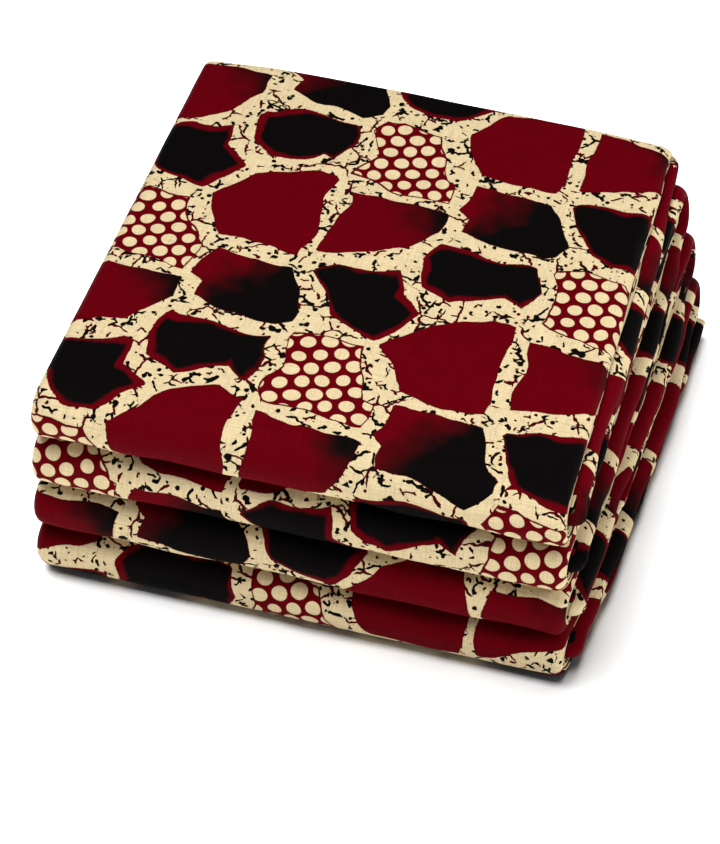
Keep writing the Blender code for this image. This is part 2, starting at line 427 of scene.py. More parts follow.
def crease_depth(x, along, rows):
    """Depth of the creases: each is a trough round a line, depth times exp of -(distance / width) squared."""
    depth = np.zeros(np.broadcast_shapes(x.shape, along.shape))
    for x0, along0, x1, along1, width, deepest in rows:
        line = np.array([x1 - x0, along1 - along0])
        share = ((x - x0) * line[0] + (along - along0) * line[1]) / (line @ line)
        share = np.clip(share, 0.0, 1.0)
        away = np.hypot(x - x0 - share * line[0], along - along0 - share * line[1])
        depth = depth + deepest * np.exp(-((away / width) ** 2))
    return depth


# Unevenness of the faces: its size, how much fuller the turns are, and its share on the top face
FULLNESS = 0.0017
FULLNESS_WAVES = ((0.110, 0.047), (0.074, 0.083), (0.052, 0.031), (0.160, 0.120))
FULLER = 0.0010
TOP_UNEVEN_SHARE = 0.40
# The place on the lowest turn where its fullness ends, and over how much of the turn it fades before that
FULLNESS_END = 6.60
FULLNESS_FADE = 0.25


def fullness(x, along, seed):
    """Soft unevenness of a face: a sum of products of sines across and along, within FULLNESS either way."""
    rng = np.random.default_rng(seed)
    total = 0.0
    for wave_x, wave_along in FULLNESS_WAVES:
        phase_x, phase_along = rng.uniform(0.0, 2 * np.pi, 2)
        across = np.sin(2 * np.pi * x / wave_x + phase_x)
        total = total + across * np.sin(2 * np.pi * along / wave_along + phase_along)
    return FULLNESS * total / len(FULLNESS_WAVES)


def turn_share(rows, first_turn):
    """1 in the middle of the front turns (first_turn 0) or the back turns (1) and nought on the flat runs."""
    path = PATH[rows]
    outside = np.floor(path[:, PLACE]) % 2 == first_turn
    above_table = np.clip((FULLNESS_END - path[:, PLACE]) / FULLNESS_FADE, 0.0, 1.0)
    return (np.abs(path[:, NORMAL_Y]) * outside * above_table)[:, None]


def top_share(rows):
    """1 on the top face, and nought elsewhere."""
    path = PATH[rows]
    return ((path[:, PLACE] == 0) * np.clip(path[:, SHARE], 0.0, 1.0))[:, None]


# At the right end of a back turn, its upper half reaches out and its lower half draws in. The length of the
# lobe that this makes, its reach by panel, and how far it draws in
LOBE_LENGTH = 0.050
LOBE_REACH = ((1, 0.0030), (3, 0.0030), (5, 0.0010), (7, 0.0032))
LOBE_DRAW = 0.0010


def near_back_turn(rows):
    """Nought along the flat runs, rising softly to 1 at the back turns over the last LOBE_LENGTH."""
    share = np.clip((PATH[rows, Y, None] - BACK_Y + PITCH + LOBE_LENGTH) / LOBE_LENGTH, 0.0, 1.0)
    return share * share * (3.0 - 2.0 * share)


def lobe_shift(rows):
    """Shift to the right at the back turns: a turn's upper half reaches out and its lower half draws in."""
    place = PATH[rows, PLACE, None]
    panel = np.floor(place)
    upper = (panel % 2) * (1.0 - (place - panel))
    panels, reach = np.array(LOBE_REACH).T
    return near_back_turn(rows) * (upper * np.interp(place, panels, reach) - (1.0 - upper) * LOBE_DRAW)


def end_taper(x, rows):
    """Pulls the two sides in a little where the band ends, so that its corners are rounded."""
    gone = 1.0 - PATH[rows, SHARE, None]
    return x * (1.0 - END_CORNER / (WIDTH / 2) * gone**2)


# The outer woven edge: how wide a strip wanders with it, how far it wanders, how far back it stands, and how
# far it wanders up and down
WOVEN_EDGE_STRIP = 0.03
WOVEN_EDGE_WANDER = 0.0012
WOVEN_EDGE_BACK = 0.0008
WOVEN_EDGE_HEIGHT_WANDER = 0.0022


def woven_side_sheet(name, start, stop, spacing):
    """The outer sheet on the woven edges' side. Its right edge wanders in and out along the path."""
    rows = rows_between(start, stop)
    section = woven_section(spacing)
    section_x, section_n = section.T
    middle = MIDDLE_LENGTH[rows, None]
    along = OUTER_LENGTH[rows]
    near_edge = np.clip((section_x - RIGHT_X + WOVEN_EDGE_STRIP) / WOVEN_EDGE_STRIP, 0.0, 1.0) ** 2
    edge = wander(middle, SEEDS["woven edge"], WOVEN_EDGE_WANDER) - WOVEN_EDGE_BACK
    x = end_taper(section_x + near_edge * edge, rows)
    lower = np.clip((HALF - section_n) / WOVEN_EDGE_DROP, 0.0, 1.0) * (section_x > 0)
    n = section_n + lower * wander(middle, SEEDS["woven edge height"], WOVEN_EDGE_HEIGHT_WANDER)
    flat = section_n / HALF
    creases = turn_creases(FRONT_CREASES, 0, OUTER_LENGTH) + top_creases()
    n = n - crease_depth(section_x[None, :], along[:, None], creases) * flat
    uneven = fullness(section_x[None, :], along[:, None], SEEDS["woven side"])
    fuller = turn_share(rows, 0) * (FULLER + uneven)
    n = n + flat * (fuller + top_share(rows) * TOP_UNEVEN_SHARE * uneven)
    return cloth_mesh(name, [(sweep(x, n, rows), -section_length(section), along, False)])


# The closed fold: how wide a strip moves with it, how far it wanders out and in, how much thinner it is than
# the solid's, how much that varies, and how far inside FOLD_X it still counts as the fold
FOLD_STRIP = 0.02
FOLD_WANDER = 0.0019
FOLD_THINNING = 0.0011
FOLD_THICKNESS_WANDER = 0.0011
FOLD_MARGIN = 0.001
# The knob at the front end of each fold: its length, its reach and how much thinner it is
KNOB_LENGTH = 0.0080
KNOB_REACH = 0.0014
KNOB_THINNING = 0.0024
# How far the closed folds' line drifts over the print, and its shortest wave
FOLD_LINE_DRIFT = 0.014
FOLD_LINE_WAVE = 0.25


def folded_side_sheet(name, start, stop, spacing):
    """The outer sheet on the closed folds' side.

    The right fold reaches out and swells unevenly along the path, and ends in a small knob at the front
    turns. On the flat runs it is the shared ridge, and at the back turns it gives way to a fold of its own.
    """
    rows = rows_between(start, stop)
    own, shared = folded_sections(spacing)
    middle = MIDDLE_LENGTH[rows, None]
    along = INNER_LENGTH[rows]
    ridge = np.clip(PATH[rows, SHARE, None] - near_back_turn(rows), 0.0, 1.0)
    knob = np.exp(-(((PATH[rows, Y, None] - FRONT_Y - PITCH) / KNOB_LENGTH) ** 2))
    near_edge = np.clip((shared[:, 0] - FOLD_X + FOLD_STRIP) / FOLD_STRIP, 0.0, 1.0)
    reach = wander(middle, SEEDS["fold reach"], FOLD_WANDER) + KNOB_REACH * knob + lobe_shift(rows)
    x = end_taper(own[:, 0] * (1 - ridge) + shared[:, 0] * ridge + near_edge * reach, rows)
    n = own[:, 1] * (1 - ridge) + shared[:, 1] * ridge
    inner = np.clip((n + HALF) / (2 * FOLD_HALF), 0.0, 1.0) * (shared[:, 0] > FOLD_X - FOLD_MARGIN)
    thinner = FOLD_THINNING + wander(middle, SEEDS["fold thickness"], FOLD_THICKNESS_WANDER)
    n = n - inner * (thinner + KNOB_THINNING * knob)
    flat = np.clip(-shared[:, 1] / HALF, 0.0, 1.0) ** 4
    creases = turn_creases(BACK_CREASES, 1, INNER_LENGTH)
    n = n + crease_depth(shared[None, :, 0], along[:, None], creases) * flat
    uneven = fullness(shared[None, :, 0], along[:, None], SEEDS["folded side"])
    n = n - (FULLER + uneven) * flat * turn_share(rows, 1)
    drift = wander(along[:, None], SEEDS["fold line"], FOLD_LINE_DRIFT, FOLD_LINE_WAVE)
    across = section_length(shared) + drift
    return cloth_mesh(name, [(sweep(x, n, rows), across, along, True)])


# The woven edges under the outer one: how many, width, pitch and lowest height, and how far each is set back
EDGE_LAYERS = 3
EDGE_WIDTH = 0.0120
EDGE_COLUMNS = 6
EDGE_PITCH = 0.00105
EDGE_LOWEST = 0.00065
EDGE_RECESS = (0.0012, 0.0020, 0.0012)
EDGE_WANDER = 0.0013
EDGE_HEIGHT_WANDER = 0.0003
# How much further along the print each lies than the last
EDGE_PRINT_STEP = 0.4


def woven_edges(name):
    """The woven edges of the layers under the outer sheet: thin strips with uneven edges.

    Each strip runs flat along the path, and its edge wanders in and out and, by the cube of its share
    across, up and down.
    """
    rows = rows_between(None, None)
    middle = MIDDLE_LENGTH[rows, None]
    share = np.linspace(0.0, 1.0, EDGE_COLUMNS)[None, :]
    across = EDGE_WIDTH * (1 - share[0]) - WOVEN_ACROSS
    grids = []
    for layer in range(EDGE_LAYERS):
        edge = RIGHT_X - EDGE_RECESS[layer] + wander(middle, SEEDS["layer edge"] + layer, EDGE_WANDER)
        x = end_taper(edge - EDGE_WIDTH * (1 - share), rows)
        height = wander(middle, SEEDS["layer height"] + layer, EDGE_HEIGHT_WANDER)
        n = EDGE_LOWEST + layer * EDGE_PITCH + share**3 * height
        along = MIDDLE_LENGTH[rows] + EDGE_PRINT_STEP * (layer + 1)
        grids.append((sweep(x, n, rows), across, along, False))
    return cloth_mesh(name, grids)


# Colours of the print and of the cloth, linear
CREAM = (0.63, 0.505, 0.295, 1.0)
RED = (0.100, 0.0002, 0.0030, 1.0)
DARK_RED = (0.058, 0.0003, 0.0026, 1.0)
BLACK = (0.0025, 0.0020, 0.0019, 1.0)

# The print repeats every PRINT_TILE across and along, each column half a tile further along than the last,
# and PRINT_START shifts it over the cloth
PRINT_TILE = (0.128, 0.186)
PRINT_START = (0.1145, 0.082, 0.0)
# A distance greater than any leaf, and one too small to see
FAR_OUTSIDE = 1.0
HAIR = 0.00001
# Mean width of the channels between motifs, and how much it varies
CHANNEL = 0.0130
CHANNEL_VARIATION = 0.0160
CHANNEL_WAVES = 24.0
# The printed edges: half the blur, the dark outline, and their small roughness
EDGE_SOFTNESS = 0.00022
FINE_SOFTNESS = EDGE_SOFTNESS / 2
OUTLINE = 0.0004
EDGE_ROUGHNESS = 0.0008
EDGE_ROUGHNESS_WAVES = 420.0
# How far the motifs' outlines stray, as drawn by hand, and the waves per metre of that
HAND_STRAY = (0.010, 0.010, 0.0)
HAND_WAVES = 34.0
# The pale worn woven edge: its width, the noise above which it shows, waves per metre and softness
SELVEDGE = 0.0006
SELVEDGE_ABOVE = 0.44
SELVEDGE_WAVES = 70.0
SELVEDGE_SOFTNESS = 0.02

# Each motif: place in the tile, turn in degrees, half length and half width, how far it bends, swells and
# fills out, its fill, and how far the fill's dark part reaches (dusk) or slants (night)
MOTIFS = {
    "broad_leaf": dict(
        place=(0.034, 0.030), turn=62, half=(0.054, 0.0390), bend=6.0, swell=0.16, full=2.6,
        fill="plain",
    ),
    "dusk_leaf": dict(
        place=(0.029, 0.095), turn=-35, half=(0.048, 0.0330), bend=9.0, swell=-0.25, full=2.2,
        fill="dusk", dark=-0.15,
    ),
    "night_leaf": dict(
        place=(0.033, 0.155), turn=12, half=(0.046, 0.0330), bend=-8.0, swell=0.22, full=2.4,
        fill="night", dark=-0.055,
    ),
    "seed_pod": dict(
        place=(0.094, 0.063), turn=-62, half=(0.046, 0.0350), bend=5.0, swell=-0.20, full=2.6,
        fill="dotted",
    ),
    "ember_leaf": dict(
        place=(0.099, 0.124), turn=40, half=(0.050, 0.0310), bend=-9.0, swell=0.30, full=2.0,
        fill="dusk", dark=-0.95,
    ),
    "shadow_leaf": dict(
        place=(0.093, 0.180), turn=-18, half=(0.046, 0.0340), bend=8.0, swell=-0.20, full=2.3,
        fill="night", dark=0.055,
    ),
}


def add(tree, kind, inputs=(), **settings):
    """Adds a shader node. Its inputs are numbers, colours or other nodes' outputs, by name or by number."""
    made = tree.nodes.new("ShaderNode" + kind)
    for key, value in settings.items():
        setattr(made, key, value)
    for key, value in dict(inputs).items():
        if isinstance(value, bpy.types.NodeSocket):
            tree.links.new(value, made.inputs[key])
        else:
            made.inputs[key].default_value = value
    return made


def calc(tree, operation, *values):
    """A Math node's result."""
    return add(tree, "Math", dict(enumerate(values)), operation=operation).outputs[0]


def most(tree, values):
    """The largest of several values."""
    largest = values[0]
    for value in values[1:]:
        largest = calc(tree, "MAXIMUM", largest, value)
    return largest


def within(tree, distance, softness):
    """1 where distance is above nought and 0 where it is below, with a soft step between."""
    inputs = {"Value": distance, "From Min": -softness, "From Max": softness}
    return add(tree, "MapRange", inputs, interpolation_type="SMOOTHSTEP").outputs["Result"]


def blend_colours(tree, share, first, second):
    """first where share is 0 and second where it is 1, on the Mix node's colour sockets, 6 and 7."""
    return add(tree, "Mix", {0: share, 6: first, 7: second}, data_type="RGBA").outputs[2]


def noise(tree, vector, waves, detail=1.0, roughness=0.5):
    """Noise from 0 to 1, with so many waves per metre."""
    inputs = {"Vector": vector, "Scale": waves, "Detail": detail, "Roughness": roughness}
    return add(tree, "TexNoise", inputs).outputs["Fac"]


def shifted(tree, vector, offset, stretch=(1.0, 1.0, 1.0)):
    """A vector times stretch, plus offset."""
    return add(tree, "VectorMath", {0: vector, 1: stretch, 2: offset}, operation="MULTIPLY_ADD").outputs[0]


def strayed(tree, vector, waves, reach, detail=1.5):
    """A vector moved about by coloured noise, by reach along each axis."""
    stray = add(tree, "TexNoise", {"Vector": vector, "Scale": waves, "Detail": detail}).outputs["Color"]
    return shifted(tree, stray, vector, reach)


def leaf_group():
    """A node group that measures how deep a point of the cloth lies inside the nearest copy of one leaf.

    The point is wrapped into the leaf's own tile and turned to its axes, s along it and t across it, and t is
    bent by s squared. The leaf's half width at s is half width * (1 - (s / half length) ^ full), swollen
    towards one end. Depth is that less the size of t, times the cosine of the outline's slope where it is
    above nought, and less how far s lies past the leaf's tip.
    """
    tree = bpy.data.node_groups.new("leaf", "ShaderNodeTree")
    names = ("Across", "Along", "X", "Y", "Cos", "Sin", "Half Length", "Half Width", "Bend", "Swell", "Full")
    for name in names:
        tree.interface.new_socket(name, in_out="INPUT", socket_type="NodeSocketFloat")
    for name in ("Depth", "S"):
        tree.interface.new_socket(name, in_out="OUTPUT", socket_type="NodeSocketFloat")
    given = tree.nodes.new("NodeGroupInput").outputs
    result = tree.nodes.new("NodeGroupOutput")
    half_length = given["Half Length"]
    half_width = given["Half Width"]

    x = calc(tree, "SUBTRACT", given["Across"], given["X"])
    column = calc(tree, "ROUND", calc(tree, "DIVIDE", x, PRINT_TILE[0]))
    x = calc(tree, "MULTIPLY_ADD", column, -PRINT_TILE[0], x)
    y = calc(tree, "SUBTRACT", given["Along"], given["Y"])
    y = calc(tree, "MULTIPLY_ADD", column, -PRINT_TILE[1] / 2, y)
    y = calc(tree, "WRAP", y, PRINT_TILE[1] / 2, -PRINT_TILE[1] / 2)
    s = calc(tree, "MULTIPLY", y, given["Sin"])
    s = calc(tree, "MULTIPLY_ADD", x, given["Cos"], s)
    t = calc(tree, "MULTIPLY", x, given["Sin"])
    t = calc(tree, "SUBTRACT", calc(tree, "MULTIPLY", y, given["Cos"]), t)

    mean_square = calc(tree, "MULTIPLY", calc(tree, "MULTIPLY", half_length, half_length), 1.0 / 3.0)
    spine = calc(tree, "SUBTRACT", calc(tree, "MULTIPLY", s, s), mean_square)
    t = calc(tree, "MULTIPLY_ADD", spine, given["Bend"], t)
    share = calc(tree, "DIVIDE", s, half_length)
    size = calc(tree, "MINIMUM", calc(tree, "ABSOLUTE", share), 1.0)
    body = calc(tree, "MULTIPLY_ADD", calc(tree, "POWER", size, given["Full"]), -1.0, 1.0)
    width = calc(tree, "MULTIPLY", body, half_width)
    width = calc(tree, "MULTIPLY", width, calc(tree, "MULTIPLY_ADD", share, given["Swell"], 1.0))
    depth = calc(tree, "SUBTRACT", width, calc(tree, "ABSOLUTE", t))

    steepest = calc(tree, "DIVIDE", calc(tree, "MULTIPLY", half_width, given["Full"]), half_length)
    rise = calc(tree, "POWER", size, calc(tree, "SUBTRACT", given["Full"], 1.0))
    rise = calc(tree, "MULTIPLY", steepest, rise)
    stretch = calc(tree, "SQRT", calc(tree, "MULTIPLY_ADD", rise, rise, 1.0))
    depth = calc(tree, "MINIMUM", depth, calc(tree, "DIVIDE", depth, stretch))
    past_tip = calc(tree, "SUBTRACT", calc(tree, "ABSOLUTE", s), half_length)
    depth = calc(tree, "SUBTRACT", depth, calc(tree, "MAXIMUM", past_tip, 0.0))
    tree.links.new(depth, result.inputs["Depth"])
    tree.links.new(s, result.inputs["S"])
    return tree


def measured_leaf(tree, group, name, across, along):
    """The leaf group's outputs for one motif of the table."""
    motif = MOTIFS[name]
    turn = math.radians(motif["turn"])
    made = tree.nodes.new("ShaderNodeGroup")
    made.node_tree = group
    made.label = name
    tree.links.new(across, made.inputs["Across"])
    tree.links.new(along, made.inputs["Along"])
    values = {
        "X": motif["place"][0],
        "Y": motif["place"][1],
        "Cos": math.cos(turn),
        "Sin": math.sin(turn),
        "Half Length": motif["half"][0],
        "Half Width": motif["half"][1],
        "Bend": motif["bend"],
        "Swell": motif["swell"],
        "Full": motif["full"],
    }
    for key, value in values.items():
        made.inputs[key].default_value = value
    return made.outputs


# Cracks in the wax: cells per metre, half width, patches per metre, noise above which they show, and offset.
# They grow to their full width over CRACK_FADE more of that noise, and bend by CRACK_BEND
RED_CRACKS = (
    (46.0, 0.00075, 45.0, 0.53, (0.31, 0.17, 0.0)),
    (105.0, 0.00075, 95.0, 0.60, (5.31, 2.17, 0.0)),
)
BLACK_CRACKS = (
    (88.0, 0.00095, 115.0, 0.555, (1.73, 0.59, 0.0)),
    (36.0, 0.00075, 60.0, 0.58, (4.4, 3.1, 0.0)),
)
CRACK_FADE = 0.035
CRACK_BEND = (0.0055, 0.0055, 0.0)
CRACK_BEND_WAVES = 190.0
# Specks: cells per metre, largest radius, offset. Then the share of cells without one, the radius that
# stands for none, and how ragged they are
RED_SPECKS = (120.0, 0.0012, (8.7, 6.3, 0.0))
BLACK_SPECKS = (150.0, 0.0015, (0.7, 0.3, 0.0))
SPECKS_LEFT_OUT = 0.55
NO_SPECK = -0.0004
SPECK_ROUGHNESS = 0.0012
SPECK_WAVES = 700.0
# Blots: waves per metre, noise above which they show, offset
BLACK_BLOTS = (105.0, 0.640, (2.1, 1.4, 0.0))
BLOT_DETAIL = 2.0
BLOT_ROUGHNESS = 0.55
BLOT_SOFTNESS = 0.012


def cracks(tree, cloth, cells, half_width, patches, start, offset):
    """Broken, wandering lines: borders of Voronoi cells, shown where a noise is above start."""
    moved = strayed(tree, shifted(tree, cloth, offset), CRACK_BEND_WAVES, CRACK_BEND)
    inputs = {"Vector": moved, "Scale": cells}
    borders = add(tree, "TexVoronoi", inputs, feature="DISTANCE_TO_EDGE", voronoi_dimensions="2D")
    gap = calc(tree, "DIVIDE", borders.outputs["Distance"], cells)
    mask = noise(tree, shifted(tree, cloth, (offset[1], offset[0], 0.0)), patches)
    inputs = {"Value": mask, "From Min": start, "From Max": start + CRACK_FADE, "To Max": half_width}
    shown = add(tree, "MapRange", inputs).outputs["Result"]
    return within(tree, calc(tree, "SUBTRACT", shown, gap), FINE_SOFTNESS)


def specks(tree, cloth, cells, largest, offset):
    """Scattered dots: the middles of Voronoi cells, each with its own size and more than half with none."""
    inputs = {"Vector": shifted(tree, cloth, offset), "Scale": cells}
    spots = add(tree, "TexVoronoi", inputs, voronoi_dimensions="2D")
    chance = add(tree, "SeparateColor", {0: spots.outputs["Color"]}).outputs[0]
    inputs = {"Value": chance, "From Min": SPECKS_LEFT_OUT, "To Min": NO_SPECK, "To Max": largest}
    radius = add(tree, "MapRange", inputs).outputs["Result"]
    distance = calc(tree, "DIVIDE", spots.outputs["Distance"], cells)
    ragged = calc(tree, "SUBTRACT", noise(tree, cloth, SPECK_WAVES), 0.5)
    ragged = calc(tree, "MULTIPLY", ragged, SPECK_ROUGHNESS)
    inside = calc(tree, "ADD", calc(tree, "SUBTRACT", radius, distance), ragged)
    return within(tree, inside, FINE_SOFTNESS)


def blots(tree, cloth, waves, start, offset):
    """Small ragged patches where a noise is high."""
    patch = noise(tree, shifted(tree, cloth, offset), waves, BLOT_DETAIL, BLOT_ROUGHNESS)
    return within(tree, calc(tree, "SUBTRACT", patch, start), BLOT_SOFTNESS)


def cracked_ground(tree, cloth):
    """Cream with dark red and black cracks, specks and blots, where wax has broken."""
    red = [cracks(tree, cloth, *row) for row in RED_CRACKS]
    red.append(specks(tree, cloth, *RED_SPECKS))
    colour = blend_colours(tree, most(tree, red), CREAM, DARK_RED)
    black = [cracks(tree, cloth, *row) for row in BLACK_CRACKS]
    black.append(specks(tree, cloth, *BLACK_SPECKS))
    black.append(blots(tree, cloth, *BLACK_BLOTS))
    return blend_colours(tree, most(tree, black), colour, BLACK)


# Dots of the pods: pitch, slant of their rows, smallest radius and how much more it may be, how far they
# stray, and the margin that they keep from the pod's edge
DOT_PITCH = 0.0120
DOT_SLANT = 0.35
DOT_RADIUS = 0.0033
DOT_RADIUS_MORE = 0.0022
DOT_STRAY = 0.003
DOT_STRAY_WAVES = 55.0
DOT_SIZE_WAVES = 70.0
DOT_SIZE_OFFSET = (1.2, 7.7, 0.0)
DOT_MARGIN = 0.0008


def dotted_fill(tree, cloth, depth):
    """Round cream dots on red, in slanting rows, every second row half a pitch further."""
    place = add(tree, "SeparateXYZ", {0: cloth}).outputs
    stray = noise(tree, cloth, DOT_STRAY_WAVES, detail=0.0)
    across = calc(tree, "MULTIPLY_ADD", stray, DOT_STRAY, place[0])
    across = calc(tree, "MULTIPLY_ADD", place[1], DOT_SLANT, across)
    along = calc(tree, "MULTIPLY_ADD", place[0], -DOT_SLANT, place[1])
    row_pitch = DOT_PITCH * math.sqrt(3.0) / 2
    row = calc(tree, "ROUND", calc(tree, "DIVIDE", along, row_pitch))
    t = calc(tree, "MULTIPLY_ADD", row, -row_pitch, along)
    odd = calc(tree, "PINGPONG", row, 1.0)
    s = calc(tree, "MULTIPLY_ADD", odd, DOT_PITCH / 2, across)
    s = calc(tree, "WRAP", s, DOT_PITCH / 2, -DOT_PITCH / 2)
    squares = calc(tree, "ADD", calc(tree, "MULTIPLY", s, s), calc(tree, "MULTIPLY", t, t))
    away = calc(tree, "SQRT", squares)
    sizes = noise(tree, shifted(tree, cloth, DOT_SIZE_OFFSET), DOT_SIZE_WAVES, detail=0.0)
    radius = calc(tree, "MULTIPLY_ADD", sizes, DOT_RADIUS_MORE, DOT_RADIUS)
    dot = within(tree, calc(tree, "SUBTRACT", radius, away), EDGE_SOFTNESS)
    clear_of_edge = within(tree, calc(tree, "SUBTRACT", depth, DOT_MARGIN), EDGE_SOFTNESS)
    return blend_colours(tree, calc(tree, "MULTIPLY", dot, clear_of_edge), RED, CREAM)


# The night leaves' red rim: its greatest width, how much narrower the clouds make it, and its softness
NIGHT_RIM = 0.0062
NIGHT_RIM_VARIATION = 0.0075
NIGHT_SOFTNESS = 0.0015
# The dusk leaves: how fast they darken along the leaf, how cloudy that is, and how soft the change is
DUSK_SLOPE = -26.0
DUSK_CLOUDS = 0.8
DUSK_SOFTNESS = 0.40
# The clouds in both: waves per metre, detail and offset
CLOUD_WAVES = 55.0
CLOUD_DETAIL = 1.3
CLOUD_OFFSET = (3.1, 0.4, 0.0)


def motif_fill(tree, name, leaf, depth, cloudy, cloth):
    """A motif's own colour: red, black with an uneven red rim, red that darkens to one end, or dotted."""
    motif = MOTIFS[name]
    if motif["fill"] == "night":
        rim = calc(tree, "MULTIPLY_ADD", cloudy, NIGHT_RIM_VARIATION, -NIGHT_RIM)
        slant = calc(tree, "MULTIPLY", leaf["S"], motif["dark"])
        core = calc(tree, "ADD", calc(tree, "ADD", depth, rim), slant)
        return blend_colours(tree, within(tree, core, NIGHT_SOFTNESS), RED, BLACK)
    if motif["fill"] == "dusk":
        clouds = calc(tree, "MULTIPLY_ADD", cloudy, DUSK_CLOUDS, motif["dark"])
        slope = calc(tree, "MULTIPLY_ADD", leaf["S"], DUSK_SLOPE, clouds)
        return blend_colours(tree, within(tree, slope, DUSK_SOFTNESS), RED, BLACK)
    if motif["fill"] == "dotted":
        return dotted_fill(tree, cloth, depth)
    return RED


def print_group():
    """A node group that draws the wax print: packed leaves and pods with cracked cream channels between.

    At each point the deepest and the second deepest leaf are found. The deepest one shows where it is deeper
    than nought and deeper than the second by a channel's width, so that neighbours never touch.
    """
    tree = bpy.data.node_groups.new("wax_print", "ShaderNodeTree")
    tree.interface.new_socket("Cloth", in_out="INPUT", socket_type="NodeSocketVector")
    tree.interface.new_socket("Colour", in_out="OUTPUT", socket_type="NodeSocketColor")
    bare = tree.nodes.new("NodeGroupInput").outputs["Cloth"]
    result = tree.nodes.new("NodeGroupOutput")
    cloth = shifted(tree, bare, PRINT_START)
    drawn = strayed(tree, cloth, HAND_WAVES, HAND_STRAY)
    place = add(tree, "SeparateXYZ", {0: drawn}).outputs

    group = leaf_group()
    leaves = {name: measured_leaf(tree, group, name, place[0], place[1]) for name in MOTIFS}
    depths = [leaf["Depth"] for leaf in leaves.values()]
    first = depths[0]
    second = calc(tree, "ADD", first, -FAR_OUTSIDE)
    for depth in depths[1:]:
        second = calc(tree, "MAXIMUM", second, calc(tree, "MINIMUM", first, depth))
        first = calc(tree, "MAXIMUM", first, depth)
    cloudy = noise(tree, shifted(tree, cloth, CLOUD_OFFSET), CLOUD_WAVES, CLOUD_DETAIL)
    uneven = noise(tree, cloth, CHANNEL_WAVES)
    uneven = calc(tree, "MULTIPLY_ADD", uneven, -CHANNEL_VARIATION, (CHANNEL_VARIATION - CHANNEL) / 2)
    between = calc(tree, "MULTIPLY_ADD", calc(tree, "SUBTRACT", first, second), 0.5, uneven)
    ragged = noise(tree, cloth, EDGE_ROUGHNESS_WAVES)
    ragged = calc(tree, "MULTIPLY_ADD", ragged, EDGE_ROUGHNESS, -EDGE_ROUGHNESS / 2)
    depth = calc(tree, "ADD", calc(tree, "MINIMUM", first, between), ragged)

    # A leaf is the deepest one where its depth is within a hair of the greatest
    greatest = calc(tree, "ADD", first, -2 * HAIR)
    fill = RED
    for name, leaf in leaves.items():
        own = within(tree, calc(tree, "SUBTRACT", leaf["Depth"], greatest), HAIR)
        fill = blend_colours(tree, own, fill, motif_fill(tree, name, leaf, depth, cloudy, cloth))
    outlined = within(tree, calc(tree, "ADD", depth, OUTLINE), EDGE_SOFTNESS)
    colour = blend_colours(tree, outlined, cracked_ground(tree, cloth), DARK_RED)
    colour = blend_colours(tree, within(tree, depth, EDGE_SOFTNESS), colour, fill)

    across = add(tree, "SeparateXYZ", {0: bare}).outputs[0]
    edge = within(tree, calc(tree, "SUBTRACT", SELVEDGE - WOVEN_ACROSS, across), FINE_SOFTNESS)
    worn = calc(tree, "SUBTRACT", noise(tree, cloth, SELVEDGE_WAVES), SELVEDGE_ABOVE)
    worn = within(tree, worn, SELVEDGE_SOFTNESS)
    colour = blend_colours(tree, calc(tree, "MULTIPLY", edge, worn), colour, CREAM)
    tree.links.new(colour, result.inputs["Colour"])
    return tree


# The weave: pitch of the threads, the noise that runs along them, the range of warp and weft together, the
# shades that it becomes, and the bump's strength and depth
THREAD_PITCH = 0.00055
THREAD_WAVES = 1300.0
THREAD_STRETCH = 0.05
WEFT_OFFSET = (0.5, 0.5, 0.0)
THREAD_SUM = (0.6, 1.4)
THREAD_SHADE = (0.80, 1.14)
WEAVE_BUMP = (0.35, 0.00012)
# The gloss of raw cotton, and the roughness of its faces and of its cut edges
CLOTH_SPECULAR = 0.015
FACE_ROUGHNESS = 0.70
EDGES_ROUGHNESS = 0.85


def cloth_shader(name, roughness):
    """A new material with a matt cloth finish, and its node tree and shader."""
    material = bpy.data.materials.new(name)
    material.use_nodes = True
    shader = material.node_tree.nodes["Principled BSDF"]
    shader.inputs["Roughness"].default_value = roughness
    shader.inputs["Specular IOR Level"].default_value = CLOTH_SPECULAR
    return material, material.node_tree, shader


def bump(tree, shader, strength_and_distance, height, invert=False):
    """Gives a shader a bump of the given strength and depth in metres."""
    strength, distance = strength_and_distance
    inputs = {"Strength": strength, "Distance": distance, "Height": height}
    made = add(tree, "Bump", inputs, invert=invert)
    tree.links.new(made.outputs["Normal"], shader.inputs["Normal"])


def printed_cloth(name, group):
    """Cotton with the wax print: thread by thread colour variation and a plain weave in the bump."""
    material, tree, shader = cloth_shader(name, FACE_ROUGHNESS)
    cloth = add(tree, "UVMap", uv_map="cloth").outputs["UV"]
    made = tree.nodes.new("ShaderNodeGroup")
    made.node_tree = group
    tree.links.new(cloth, made.inputs["Cloth"])
    along = shifted(tree, cloth, (0.0, 0.0, 0.0), (1.0, THREAD_STRETCH, 1.0))
    across = shifted(tree, cloth, WEFT_OFFSET, (THREAD_STRETCH, 1.0, 1.0))
    warp = noise(tree, along, THREAD_WAVES)
    weft = noise(tree, across, THREAD_WAVES)
    threads = calc(tree, "ADD", warp, weft)
    shades = dict(zip(("From Min", "From Max", "To Min", "To Max"), THREAD_SUM + THREAD_SHADE))
    shade = add(tree, "MapRange", {"Value": threads, **shades}).outputs["Result"]
    inputs = {0: made.outputs["Colour"], "Scale": shade}
    tinted = add(tree, "VectorMath", inputs, operation="SCALE").outputs[0]
    tree.links.new(tinted, shader.inputs["Base Color"])
    place = add(tree, "SeparateXYZ", {0: cloth}).outputs
    turns = 2 * math.pi / THREAD_PITCH
    over, under = (calc(tree, "SINE", calc(tree, "MULTIPLY", place[axis], turns)) for axis in (0, 1))
    height = calc(tree, "MULTIPLY", calc(tree, "MULTIPLY", over, under), 0.5)
    bump(tree, shader, WEAVE_BUMP, calc(tree, "ADD", height, threads))
    return material


